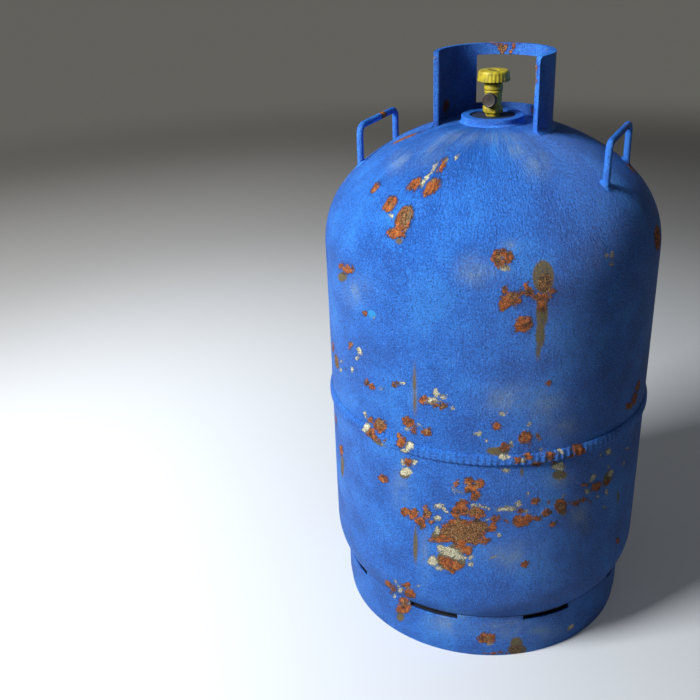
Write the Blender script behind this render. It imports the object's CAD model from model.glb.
"""Looks of a weathered gas cylinder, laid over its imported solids.

Metres, +Z up. The vessel's axis is Z and the open side of its guard faces -Y.
"""

import logging
import math
from collections.abc import Iterable, Sequence
from dataclasses import dataclass, field
from enum import Enum

import bpy
import numpy as np
from mathutils import Matrix, Vector


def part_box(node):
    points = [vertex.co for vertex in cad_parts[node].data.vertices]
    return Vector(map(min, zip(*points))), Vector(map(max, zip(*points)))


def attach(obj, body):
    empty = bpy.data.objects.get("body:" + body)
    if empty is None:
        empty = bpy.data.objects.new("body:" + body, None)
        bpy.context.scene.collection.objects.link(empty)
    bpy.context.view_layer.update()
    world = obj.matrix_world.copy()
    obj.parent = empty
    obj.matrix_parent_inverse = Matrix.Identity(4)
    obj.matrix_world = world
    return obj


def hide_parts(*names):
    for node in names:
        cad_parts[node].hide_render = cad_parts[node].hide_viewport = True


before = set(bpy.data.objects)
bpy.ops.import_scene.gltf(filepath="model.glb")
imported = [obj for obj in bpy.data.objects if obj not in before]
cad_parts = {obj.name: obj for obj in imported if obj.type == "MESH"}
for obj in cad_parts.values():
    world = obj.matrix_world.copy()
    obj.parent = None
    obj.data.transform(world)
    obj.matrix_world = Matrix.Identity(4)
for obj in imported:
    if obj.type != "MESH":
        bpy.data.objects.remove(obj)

Array = np.ndarray
Socket = bpy.types.NodeSocket
MM = 0.001
PHOTO_SIDE = 700
SENSOR = 36.0
FIELD_REACH = 4.0 * MM
log = logging.getLogger("gas_cylinder")


def srgb(red: int, green: int, blue: int) -> tuple[float, float, float, float]:
    """Turns a screen colour of three values up to 255 into a linear colour."""
    shares = np.array([red, green, blue]) / 255.0
    linear = np.where(shares <= 0.04045, shares / 12.92, ((shares + 0.055) / 1.055) ** 2.4)
    return (*[float(value) for value in linear], 1.0)


# The camera


@dataclass(frozen=True)
class PhotoCamera:
    """The viewpoint of the photograph, a square picture. Angles are in degrees."""

    focal: float = 945.8
    place: tuple[float, float, float] = (0.27356, -0.84194, 0.69464)
    pan: float = -27.075
    dip: float = 25.474
    roll: float = -2.31

    def axes(self) -> Array:
        """The picture's right, up and forward directions, as three rows."""
        pan, dip, roll = np.radians([self.pan, self.dip, self.roll])
        forward = np.array([np.sin(pan) * np.cos(dip), np.cos(pan) * np.cos(dip), -np.sin(dip)])
        level = np.array([np.cos(pan), -np.sin(pan), 0.0])
        upright = np.cross(level, forward)
        right = np.cos(roll) * level + np.sin(roll) * upright
        up = np.cos(roll) * upright - np.sin(roll) * level
        return np.array([right, up, forward])

    def sight(self, x: float, y: float) -> Array:
        """Direction of the line of sight through a pixel of the photograph.

        Args:
            x: pixels from the left edge.
            y: pixels from the top edge.
        Returns:
            A direction of length one in the object's frame.
        """
        half = PHOTO_SIDE / 2
        right, up, forward = self.axes()
        line = forward + right * (x - half) / self.focal + up * (half - y) / self.focal
        return line / np.linalg.norm(line)

    def make(self) -> bpy.types.Object:
        """Adds the camera to the scene and makes it the one in use."""
        data = bpy.data.cameras.new("photo_camera")
        data.sensor_width = SENSOR
        data.lens = self.focal / PHOTO_SIDE * SENSOR
        data.clip_start = 0.01
        camera = bpy.data.objects.new("photo_camera", data)
        right, up, forward = (Vector(axis) for axis in self.axes())
        turn = Matrix((right, up, -forward)).transposed().to_4x4()
        camera.matrix_world = Matrix.Translation(self.place) @ turn
        bpy.context.scene.collection.objects.link(camera)
        bpy.context.scene.camera = camera
        return camera


# Smooth random waves


class Ripple:
    """Value noise on a cubic lattice, the same on every run."""

    SIDE = 64

    def __init__(self, seed: int) -> None:
        """Fills the lattice with random values from -1 to 1."""
        shape = (self.SIDE, self.SIDE, self.SIDE)
        self.lattice = np.random.default_rng(seed).uniform(-1.0, 1.0, shape)

    def at(self, points: Array, size: float) -> Array:
        """Value at each point: the eight lattice values round it, blended by smooth steps.

        Args:
            points: places, one row each.
            size: distance between lattice values.
        Returns:
            One value from -1 to 1 for each place.
        """
        scaled = points / size
        cell = np.floor(scaled).astype(int)
        part = eased(scaled - cell)
        total = np.zeros(len(points))
        for corner in np.ndindex(2, 2, 2):
            weight = np.prod(np.where(corner, part, 1.0 - part), axis=1)
            x, y, z = ((cell + corner) % self.SIDE).T
            total += weight * self.lattice[x, y, z]
        return total


# Surfaces


@dataclass
class Surface:
    """One closed surface as corner places and four-sided or three-sided faces."""

    corners: Array
    quads: Array
    triangles: Array = field(default_factory=lambda: np.empty((0, 3), int))

    def outward(self) -> "Surface":
        """Turns every face round if the enclosed volume, the sum of face pyramids, is negative."""
        fans = np.vstack([self.quads[:, [0, 1, 2]], self.quads[:, [0, 2, 3]], self.triangles])
        first, second, third = (self.corners[fans[:, i]] for i in range(3))
        volume = np.einsum("ij,ij->", first, np.cross(second, third))
        if volume < 0:
            return Surface(self.corners, self.quads[:, ::-1], self.triangles[:, ::-1])
        return self

    def joined(self, other: "Surface") -> "Surface":
        """Puts another surface beside this one in the same mesh."""
        shift = len(self.corners)
        return Surface(
            np.vstack([self.corners, other.corners]),
            np.vstack([self.quads, other.quads + shift]),
            np.vstack([self.triangles, other.triangles + shift]),
        )

    def moved(self, turn: Array, shift: Sequence[float] = (0.0, 0.0, 0.0)) -> "Surface":
        """Turns the surface by a matrix of three rows and then shifts it."""
        return Surface(self.corners @ np.asarray(turn).T + np.asarray(shift), self.quads, self.triangles)


def lattice_quads(rows: int, columns: int, wrap_rows: bool, wrap_columns: bool) -> Array:
    """Faces of a grid of corners numbered row by row: each cell takes its four corners."""
    row = np.arange(rows if wrap_rows else rows - 1)
    column = np.arange(columns if wrap_columns else columns - 1)
    here, along = np.meshgrid(row, column, indexing="ij")
    below, beside = (here + 1) % rows, (along + 1) % columns
    cells = [here * columns + along, here * columns + beside,
             below * columns + beside, below * columns + along]
    return np.stack(cells, axis=-1).reshape(-1, 4)


def tube(grid: Array, capped: bool = False) -> Surface:
    """Surface on a grid of points whose columns close on themselves.

    Args:
        grid: points as rows by columns by three.
        capped: closes the first and last row with a fan to the middle, for a solid with ends.
            Otherwise the last row joins the first, for a ring.
    Returns:
        The closed surface.
    """
    rows, columns, _ = grid.shape
    corners = grid.reshape(-1, 3)
    if not capped:
        return Surface(corners, lattice_quads(rows, columns, True, True)).outward()
    quads = lattice_quads(rows, columns, False, True)
    corners = np.vstack([corners, grid[0].mean(axis=0), grid[-1].mean(axis=0)])
    column = np.arange(columns)
    beside = (column + 1) % columns
    first = np.stack([np.full(columns, rows * columns), beside, column], axis=1)
    start = (rows - 1) * columns
    last = np.stack([np.full(columns, rows * columns + 1), start + column, start + beside], axis=1)
    return Surface(corners, quads, np.vstack([first, last])).outward()


def polar(radius: Array | float, angles: Array, height: Array | float) -> Array:
    """Points round Z: x = r cos a, y = r sin a, z = h, all brought to one shape."""
    parts = radius * np.cos(angles), radius * np.sin(angles), height + 0 * angles
    return np.stack(np.broadcast_arrays(*parts), axis=-1)


def revolved(profile: Array, angles: Array, capped: bool = False) -> Surface:
    """Carries a profile of radius and height round Z."""
    return tube(polar(profile[:, :1], angles, profile[:, 1:]), capped)


def eased(share: Array) -> Array:
    """Smooth step of a share from 0 to 1: three times its square less twice its cube."""
    return share * share * (3.0 - 2.0 * share)


def round_turn(columns: int) -> Array:
    """Evenly spaced angles of one full turn."""
    return np.arange(columns) * 2 * math.pi / columns


def arc(centre: Sequence[float], radius: float, start: float, end: float, steps: int) -> Array:
    """Points on a circle's arc in the profile's plane, angles in degrees from the first axis."""
    angle = np.radians(np.linspace(start, end, steps + 1))
    return np.stack([centre[0] + radius * np.cos(angle), centre[1] + radius * np.sin(angle)], axis=1)


def softened(profile: Array, radius: float, steps: int = 3, closed: bool = False) -> Array:
    """Rounds each inner corner of a profile: the corner gives way to a quadratic curve that
    starts and ends at the given distance from it, or at 0.45 of the shorter side."""
    count = len(profile)
    pieces = []
    for i in range(count):
        if not closed and i in (0, count - 1):
            pieces.append(profile[i : i + 1])
            continue
        corner = profile[i]
        before, after = profile[i - 1] - corner, profile[(i + 1) % count] - corner
        reach = min(radius, 0.45 * np.linalg.norm(before), 0.45 * np.linalg.norm(after))
        start = corner + before / np.linalg.norm(before) * reach
        end = corner + after / np.linalg.norm(after) * reach
        t = np.linspace(0.0, 1.0, steps + 1)[:, None]
        pieces.append((1 - t) ** 2 * start + 2 * t * (1 - t) * corner + t * t * end)
    return np.vstack(pieces)


def resampled(profile: Array, spacing: float) -> Array:
    """Adds points along each side of a profile so that none is longer than the spacing."""
    pieces = []
    for start, end in zip(profile[:-1], profile[1:]):
        steps = max(1, math.ceil(np.linalg.norm(end - start) / spacing))
        t = np.linspace(0.0, 1.0, steps, endpoint=False)[:, None]
        pieces.append(start + (end - start) * t)
    return np.vstack([*pieces, profile[-1:]])


def walled(outer: Array, inner: Array, keep: Array, closed: bool) -> Surface:
    """Solid wall between two grids of points with cells left out as holes.

    Each kept cell gives a face on the outer grid and one on the inner grid. Each side of a
    kept cell with no kept neighbour gives a face that joins the two grids.

    Args:
        outer: points of the outer face as rows by columns by three.
        inner: the matching points of the inner face.
        keep: which cells are material, as rows - 1 by cells along.
        closed: whether the last column of cells joins the first column of points.
    Returns:
        The closed surface, without unused corners.
    """
    rows, columns, _ = outer.shape
    index = np.arange(rows * columns).reshape(rows, columns)
    if closed:
        index = np.hstack([index, index[:, :1]])
    under, over = index[:-1, :-1], index[1:, :-1]
    under_next, over_next = index[:-1, 1:], index[1:, 1:]
    shift = rows * columns
    face = np.stack([under[keep], under_next[keep], over_next[keep], over[keep]], axis=1)
    faces = [face, face[:, ::-1] + shift]
    padded = np.pad(keep, 1)
    if closed:
        padded[1:-1, 0], padded[1:-1, -1] = keep[:, -1], keep[:, 0]
    sides = (
        (padded[:-2, 1:-1], under, under_next),
        (padded[2:, 1:-1], over_next, over),
        (padded[1:-1, :-2], over, under),
        (padded[1:-1, 2:], under_next, over_next),
    )
    for neighbour, start, end in sides:
        bare = keep & ~neighbour
        a, b = start[bare], end[bare]
        faces.append(np.stack([b, a, a + shift, b + shift], axis=1))
    quads = np.vstack(faces)
    used, quads = np.unique(quads, return_inverse=True)
    corners = np.vstack([outer.reshape(-1, 3), inner.reshape(-1, 3)])[used]
    return Surface(corners, quads.reshape(-1, 4)).outward()


# Worn places


class Coat(Enum):
    """What a worn place shows. The value is the name of its attribute."""

    RUST = "rust"
    CORE = "core"
    CREAM = "cream"
    STAIN = "stain"
    DUST = "dust"
    FRESH = "fresh"
    GRIME = "grime"


@dataclass(frozen=True)
class Mark:
    """A worn place as the photograph shows it: centre, half width and half height in pixels,
    and its turn in degrees anticlockwise."""

    x: float
    y: float
    wide: float
    tall: float
    turn: float = 0.0


@dataclass(frozen=True)
class Spot:
    """A worn place in the object's frame.

    Args:
        coat: what it shows.
        centre: its middle on the surface.
        across, along: vectors whose product with an offset is 1 at the rim, on each axis.
        inward: the same for the way into the wall.
        reach: its smaller half width in metres.
    """

    coat: Coat
    centre: Array
    across: Array
    along: Array
    inward: Array
    reach: float

    def depth(self, points: Array) -> Array:
        """Distance inside the rim at each point: (1 - q) times the reach, where q squared is
        the sum of the squared shares of the three half widths."""
        offset = points - self.centre
        shares = (offset @ axis for axis in (self.across, self.along, self.inward))
        return (1.0 - np.sqrt(sum(share**2 for share in shares))) * self.reach

    @property
    def extent(self) -> float:
        """Distance from the centre past which the field is at its lowest."""
        narrowest = min(np.linalg.norm(axis) for axis in (self.across, self.along, self.inward))
        return (1.0 + FIELD_REACH / self.reach) / narrowest


@dataclass(frozen=True)
class Blot:
    """A worn place on a fitting: its middle and its half sizes along X, Y and Z in millimetres."""

    coat: Coat
    middle: tuple[float, float, float]
    half: tuple[float, float, float]


FITTINGS = (
    Blot(Coat.RUST, (-8.6, 50.5, 564), (5.2, 4, 5)), Blot(Coat.CORE, (-8.6, 50.5, 562), (3.4, 4, 4.5)),
    Blot(Coat.RUST, (2.2, 50.6, 565), (1.8, 4, 3.4)), Blot(Coat.RUST, (-17, 48.6, 567.4), (7, 3, 1.4)),
    Blot(Coat.RUST, (4, 52.4, 567.6), (6, 2.6, 1.2)), Blot(Coat.RUST, (-1, 50, 560), (1.4, 3, 1.4)),
    Blot(Coat.CREAM, (40.6, 30, 566), (1.8, 1.8, 1.6)),
    Blot(Coat.CREAM, (-48.8, -23.2, 564.6), (1.4, 1.4, 1.2)),
    Blot(Coat.STAIN, (44.2, -21.6, 550), (1.5, 2.2, 16)), Blot(Coat.RUST, (44, -21.4, 559), (1.3, 1.8, 3.4)),
    Blot(Coat.RUST, (44.2, -21.6, 548), (0.9, 1.6, 3)), Blot(Coat.CREAM, (44.2, -21.6, 541), (1, 1.6, 2.6)),
    Blot(Coat.RUST, (-115.9, 8.4, 502.6), (8, 5, 8)), Blot(Coat.STAIN, (-115.9, 8.4, 502.6), (8, 6, 8)),
    Blot(Coat.RUST, (115.9, 20, 502), (4, 2.4, 3)), Blot(Coat.RUST, (-30, 45, 520), (7, 6, 9)),
    Blot(Coat.RUST, (28, 47, 508), (5, 6, 5)), Blot(Coat.CREAM, (-24, 48, 530), (2, 4, 3)),
    Blot(Coat.RUST, (-52, 8, 515), (6, 7, 6)), Blot(Coat.STAIN, (-52, 8, 507), (5, 3, 8)),
)

# Rows of the marks: x, y, half width, half height, and the turn where there is one.

SHOULDER = {
    Coat.RUST: (
        (375, 188.4, 7, 2.4, 52), (414, 185, 8.5, 4.6, 48), (432, 187, 10.5, 5.8, 52),
        (441.5, 166, 8, 2.2, 60), (391, 202.5, 5, 6.5, -20), (388.5, 208, 5.5, 5),
        (404, 219, 8.5, 14, -24), (396, 233.5, 9, 4.6, -8), (340.7, 265.4, 2.2, 3.6),
        (347.6, 269.5, 5.5, 3.8), (364.2, 313, 2, 2.8), (407, 137.3, 14, 1, 22),
        (658, 238, 3.2, 12), (632, 169, 7, 1.2, -45), (366.3, 382, 1.8, 3.2),
        (371.5, 386, 3.6, 3, -30), (394.6, 383.8, 3.6, 2.5, -20), (350.6, 345.8, 2, 3),
        (345, 369, 1, 1.2), (383.5, 387.8, 1.5, 1.5), (333, 347, 1.4, 5.5),
    ),
    Coat.CORE: (
        (405.5, 216, 5.4, 10, -24), (336.6, 361.4, 2, 7.5, 8), (392.5, 205, 2, 2.4),
        (433.5, 181, 2, 3, -20),
    ),
    Coat.CREAM: (
        (435, 166, 4.6, 1.3, 65), (427, 177.5, 6, 1.8, 45), (456.6, 157.4, 2.8, 1, 50),
        (422, 183, 2.4, 4.5, -35), (446, 160.5, 3, 2, 60), (408.8, 221, 1.6, 8, -18),
        (390.6, 216.8, 2, 2.4), (359.4, 351.6, 1.8, 4, 30), (356.7, 358.8, 2, 2),
        (353, 369.5, 1.8, 2.6), (341.5, 361, 1.1, 1.6), (340.6, 369.5, 1.1, 1.6),
        (382, 387.5, 3, 1.6), (401, 382.9, 3, 1.3, 20), (373.4, 318, 1.2, 1.2),
        (611, 255, 2.2, 3.2), (611, 263.4, 1.3, 1.5), (606.5, 256.5, 1.2, 1.8),
    ),
    Coat.DUST: (
        (455, 138, 38, 9, 8), (502, 138, 32, 9, -4), (430, 152, 22, 10, 32),
        (536, 163, 16, 15, -35), (516, 150, 18, 10, -15), (400, 160, 16, 10, 40),
    ),
    Coat.FRESH: ((371.7, 313.7, 4.4, 4, -40),),
}

UPPER_BODY = {
    Coat.RUST: (
        (496, 257, 5, 6), (503, 253.5, 7, 4), (509.5, 257, 5, 6), (502, 262.5, 7, 4),
        (529.4, 291.8, 5.5, 5), (527, 284, 3, 3), (542, 296.2, 9, 4), (551.5, 290.7, 6, 3.2, 25),
        (542, 304.5, 5, 6), (504, 303.3, 5, 5.5), (517.9, 301, 4, 5), (505.3, 290.7, 4, 3),
        (520.2, 293, 4, 4), (511, 298.5, 8, 7), (523.4, 325.1, 8, 8.5), (529, 320, 3.5, 4.5),
        (548.2, 384, 4.2, 2.6), (496.4, 426, 5.6, 3.3), (525, 437.2, 6.6, 6.2),
        (504.9, 446.5, 4.8, 3.2), (529.5, 444.8, 1.6, 1.6), (543.5, 283, 6, 6),
        (629.5, 405.5, 2.4, 3), (634.8, 397.5, 2.4, 6, -12), (637.8, 386, 1.5, 6, -12),
    ),
    Coat.CORE: (
        (501.5, 257.5, 4, 3), (545, 283, 8.5, 9), (512.5, 295.5, 5, 4.5),
        (538.4, 437, 2.6, 3.6), (524.5, 437, 1.8, 2),
    ),
    Coat.CREAM: (
        (504.7, 266.6, 5, 3.4), (547, 293, 2, 1.4), (477.7, 433.6, 3.8, 2.2),
        (486.6, 440.9, 1.4, 1.4), (503.6, 413.8, 3.5, 2.4), (510.7, 443.8, 2.5, 2.4),
        (528.6, 424.3, 2.4, 2),
    ),
    Coat.STAIN: (
        (543.5, 277, 11, 17), (542, 312, 6.4, 18), (540.2, 335, 5, 15), (538, 352, 2.6, 11),
        (414.4, 380, 2.1, 20), (415, 404, 2.1, 14), (399, 241, 4, 3.6), (498, 451, 13, 4.5),
        (342, 277, 5, 5),
    ),
    Coat.DUST: (
        (510, 400, 34, 18), (545, 405, 26, 16), (560, 425, 22, 14), (474, 271, 20, 18),
        (354, 292, 13, 15), (497, 271, 14, 12), (512, 245, 12, 7), (415, 395, 4, 20),
    ),
}

WELD_PLACES = {
    Coat.RUST: (
        (423.2, 399.8, 4.6, 4.6), (434.8, 404.3, 4, 2.6), (371, 419, 2.6, 3.6, 30),
        (379.4, 425, 6.4, 7), (372.3, 432.9, 4, 4.4), (375.4, 437.6, 7.5, 2.8, -38),
        (408, 421.5, 7.2, 5, -28), (414.3, 430, 2.6, 3.6), (426.8, 432, 5.2, 5, -20),
        (399, 436.4, 2, 2.6), (402, 442, 4.6, 4.4), (408.9, 462.3, 4, 4), (341.5, 450.7, 2, 5.6, 8),
        (335.9, 420, 1.2, 6), (383, 478, 4.6, 3.6, -30), (516, 458.6, 3.4, 3.2),
        (526.8, 455.9, 4.6, 3.4), (536.2, 463.4, 4.6, 3), (549.6, 454.6, 4.2, 4.2),
        (553.6, 463.2, 3, 2), (577.7, 448.6, 6, 5.6), (568, 456, 5, 1.8, 25), (456.7, 482.2, 2.4, 3),
        (536, 500.4, 4.4, 3),
    ),
    Coat.CORE: (
        (380, 423, 4.4, 5), (442.9, 406, 3.6, 4.2), (427, 430.5, 2.8, 3), (524, 459.6, 2, 2),
        (385.7, 439, 1.5, 1.5),
    ),
    Coat.CREAM: (
        (432, 400.7, 6.5, 3.6), (436.6, 393.6, 3.2, 3.6), (443.7, 396.2, 3.5, 2.4),
        (452.2, 408.7, 1.8, 1.8), (365.6, 414, 1.4, 3.6, 30), (367, 427.5, 3.2, 5),
        (382, 443, 5, 1.6, -35), (408, 429.5, 3, 1.8), (418.8, 424.4, 2, 1.4, -30),
        (409.8, 445.4, 4.8, 3.4), (406, 449.8, 4, 2.6), (403.4, 462.3, 2.6, 4),
        (415, 462.3, 2.4, 4), (405.4, 471.3, 6, 4.6), (502.7, 455.9, 3.5, 2.6),
        (508.5, 455.9, 1.6, 1.4), (521.5, 459.8, 4, 2.2), (506.3, 470.2, 4.2, 2.4),
        (559.4, 450.6, 2.4, 2.4), (558.5, 466.7, 6.8, 4.2), (559.8, 479.6, 1.8, 1.6),
        (541, 450, 2, 1.4), (527, 494.3, 2, 1.1, 20),
    ),
    Coat.STAIN: (
        (542.9, 461.8, 6, 1.8, 20), (521.9, 472, 2, 5), (342.4, 466, 1.8, 12),
        (377, 441, 9, 3, -38), (405, 474, 6, 5),
    ),
}

MAIN_PATCH = {
    Coat.RUST: (
        (468.5, 481, 4.4, 4.6), (478, 483.6, 5.4, 5.6), (470, 489, 6, 3.6), (475.9, 496, 4.6, 4),
        (463, 503, 6.4, 4.6), (462.5, 510, 7.5, 5), (455.4, 512, 5, 4.6), (475.9, 513, 9, 5.6),
        (457, 522.5, 9, 4.6), (462, 532, 22, 12), (442, 538.6, 7, 4.6), (480, 527, 8, 7),
        (432, 539, 4, 2), (474, 540.4, 6, 4), (484, 540.4, 5, 3.4), (466, 550.2, 6.2, 4.6),
        (460, 546, 5, 3), (452.7, 566, 8.6, 4.4), (444.6, 561, 6, 4.6), (451, 571, 3, 2.6),
        (405.4, 511.8, 4.6, 4), (413.4, 513.8, 5, 4.8), (420.5, 520.7, 5, 4.8),
        (426.8, 512.7, 4.8, 5), (422.3, 526, 4.2, 2.8), (425, 506.4, 3, 1.8),
        (432, 522, 3.8, 2.2), (495.5, 518, 5.6, 3.4), (492.9, 527, 4.6, 3.6),
        (507, 521.6, 1.6, 1.6), (520.5, 520.7, 9, 5.6), (527, 518, 5, 4), (537.6, 518.6, 4.4, 2.8),
        (545.9, 512.3, 5.6, 3.6, 15), (560.6, 505.2, 6.4, 6), (576.3, 503.4, 5, 2.8, 12),
        (584.3, 499.4, 4, 2, 25), (590.5, 501.6, 1.8, 2), (552.6, 524.8, 4, 2.2, 40),
        (519.6, 510.4, 4.4, 2.4), (596, 486.8, 5.4, 4, 30), (585, 485, 3.4, 2), (606.3, 482.3, 2.2, 4.4, -25),
        (525.6, 564.3, 3.8, 3.2), (617.8, 540.9, 1.6, 3),
    ),
    Coat.CORE: (
        (474, 512, 6, 4), (478, 526, 9, 7), (462, 532, 15, 9), (472, 538, 7, 5),
        (474.5, 483, 2, 3), (458, 520, 4, 3), (427, 513, 2.4, 2.6), (446, 532, 5, 5),
        (561.5, 506, 2.6, 2.6), (548, 501.6, 1.6, 1.6),
    ),
    Coat.CREAM: (
        (450, 551.5, 11, 5), (433, 561, 4.4, 4.6), (440, 548, 4, 3), (439, 569, 4, 2, -20),
        (458, 557, 9, 2), (470.5, 564, 3.6, 2, 25), (471, 557, 3, 2, 30), (437, 531, 3, 4),
        (452.7, 488.5, 1.1, 3.2, 25), (459.4, 491.2, 3.4, 1.2, -20), (461.6, 498, 2.4, 1.4),
        (438.4, 506.4, 4, 2.4), (444.6, 510.6, 4, 1.4, -35), (438.4, 518, 4, 2.6),
        (475.9, 505.5, 4, 1.8), (484, 507.3, 4.4, 1.6, -10), (488.6, 508.9, 2.4, 1.3),
        (505.8, 509, 9.6, 2.2), (517.9, 504.2, 2.8, 2), (525.4, 511.3, 2.4, 2),
        (487, 518.5, 2, 1.1), (498.2, 535, 2.6, 1.6), (493.4, 557.4, 3.2, 1, 15),
        (571.3, 511, 1.3, 1.3), (564.7, 495.7, 2.2, 1, 35), (597.3, 496.6, 2, 1.2, 30),
        (605.8, 493, 1.5, 2.4), (605.3, 506.5, 1.6, 1.2), (600, 455.5, 1.3, 1.3),
        (627.2, 448.4, 1.6, 1.2, 40), (623.7, 463.6, 1.1, 1.8), (609.4, 466.3, 1.1, 1.5),
        (608.5, 452, 2.4, 3.2), (610.3, 473.4, 2.2, 4.4, -30), (592.9, 478, 1.8, 4.6, -35),
        (587.5, 491.3, 3.2, 1.8), (572.9, 546.7, 1.2, 1.2), (418.3, 586, 1.6, 1.4),
    ),
    Coat.STAIN: (
        (450, 560, 14, 11), (457, 549, 10, 6), (462, 562, 4, 7), (438, 536, 7, 6),
        (415.5, 546, 2.6, 20), (562.9, 512, 4, 4), (608, 478, 4, 9, -25), (560, 475, 8, 5),
        (618, 497, 1.2, 8),
    ),
    Coat.DUST: (
        (580, 516, 14, 18), (400, 490, 10, 22), (512, 556, 30, 16), (425, 556, 6, 26),
        (560, 480, 14, 10),
    ),
}

FOOT_PLACES = {
    Coat.RUST: (
        (388, 584, 4, 2.4, -45), (393, 589, 3.4, 2.4, -45), (405.7, 585, 4.4, 2.8),
        (409.3, 593.6, 6.6, 4, -35), (403.5, 600.7, 5, 3.6), (403, 608.6, 7, 4.8),
        (391.4, 592.9, 3, 1.1, -30), (486.3, 638.4, 9.4, 4.6), (497, 654, 11, 1.3),
    ),
    Coat.CORE: ((487, 638.6, 3.6, 2.6), (404.5, 604, 2.2, 3), (517, 650, 6, 4)),
    Coat.CREAM: (
        (396, 581.5, 1, 3.4, 40), (398.4, 586.4, 1.2, 1.2), (395, 595.4, 1.5, 2.2),
        (409.6, 603.2, 2, 2.2), (400, 590.4, 2.4, 2.4), (488.5, 643, 4.4, 1.8),
        (570.2, 627.5, 4, 1.8, 38), (408, 587.5, 2.4, 1),
    ),
    Coat.STAIN: ((516.6, 644, 6.4, 7), (517.4, 650.5, 9.6, 6), (400.4, 617, 4, 4.6)),
    Coat.DUST: ((450, 622, 26, 14), (505, 628, 34, 12), (540, 632, 22, 8)),
}


# The outline of the vessel


@dataclass(frozen=True)
class Head:
    """A dished head: a knuckle arc from the straight wall, then a crown arc over the middle."""

    radius: float
    tangent: float
    knuckle: float
    rise: float
    side: int

    @property
    def crown(self) -> float:
        """Radius of the crown arc that meets the knuckle smoothly."""
        return self.rise / 2 + self.knuckle + (self.radius - self.knuckle) ** 2 / (2 * self.rise)

    @property
    def split(self) -> float:
        """Angle in degrees at which the knuckle ends."""
        lever = self.crown - self.knuckle
        return math.degrees(math.asin((lever - self.rise) / lever))

    def profile(self, inset: float, end_radius: float, steps: int) -> Array:
        """Radius and height from the tangent line in to a radius, inset into the wall."""
        start = arc((self.radius - self.knuckle, 0.0), self.knuckle - inset, 0.0, self.split, steps)
        reach = math.degrees(math.acos(end_radius / (self.crown - inset)))
        drop = self.knuckle + self.rise - self.crown
        middle = arc((0.0, drop), self.crown - inset, self.split, reach, steps)[1:]
        points = np.vstack([start, middle])
        points[:, 0] = np.maximum(points[:, 0], 0.0)
        return np.stack([points[:, 0], self.tangent + self.side * points[:, 1]], axis=1)

    def height(self, radius: Array | float) -> Array:
        """Height of the outer surface at a radius."""
        radius = np.asarray(radius, float)
        knee = self.radius - self.knuckle
        bend = np.sqrt(np.maximum(0.0, self.knuckle**2 - (radius - knee) ** 2))
        drop = self.knuckle + self.rise - self.crown
        dish = drop + np.sqrt(np.maximum(0.0, self.crown**2 - radius**2))
        edge = self.crown * math.cos(math.radians(self.split))
        return self.tangent + self.side * np.where(radius < edge, dish, bend)


@dataclass(frozen=True)
class Outline:
    """The vessel's outer shape, worked out from the frame and the heads' own sizes."""

    radius: float
    seam: float
    foot_radius: float
    foot_top: float
    upper: Head
    lower: Head
    wall: float = 3.0 * MM

    @classmethod
    def measured(cls, top_knuckle: float = 86.6 * MM, top_rise: float = 27.2 * MM,
                 bottom_knuckle: float = 62.0 * MM, bottom_rise: float = 10.0 * MM,
                 neck_rise: float = 2.5 * MM) -> "Outline":
        """Reads the shells, the foot ring and the neck ring in the frame, and fits the heads.

        Args:
            top_knuckle, top_rise: the upper head's knuckle radius and crown height.
            bottom_knuckle, bottom_rise: the same of the lower head.
            neck_rise: how far the neck ring stands above the upper head's apex.
        Returns:
            The outline.
        """
        low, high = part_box("upper_shell")
        foot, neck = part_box("foot_ring")[1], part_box("neck_ring")[1]
        top_tangent = neck.z - neck_rise - top_rise - top_knuckle
        bottom_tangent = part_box("lower_shell")[0].z + bottom_rise + bottom_knuckle
        upper = Head(high.x, top_tangent, top_knuckle, top_rise, 1)
        lower = Head(high.x, bottom_tangent, bottom_knuckle, bottom_rise, -1)
        return cls(high.x, low.z, foot.x, foot.z, upper, lower)

    def reach(self, height: Array) -> Array:
        """Outer radius at each height, the foot ring included, by the two heads' profiles."""
        top = self.upper.profile(0.0, 0.0, 60)
        bottom = self.lower.profile(0.0, 0.0, 60)[::-1]
        profile = np.vstack([bottom, top])
        radius = np.interp(height, profile[:, 1], profile[:, 0], left=0.0, right=0.0)
        beside = (height >= 0.0) & (height < self.foot_top)
        return np.where(beside, np.maximum(radius, self.foot_radius), radius)


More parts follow.
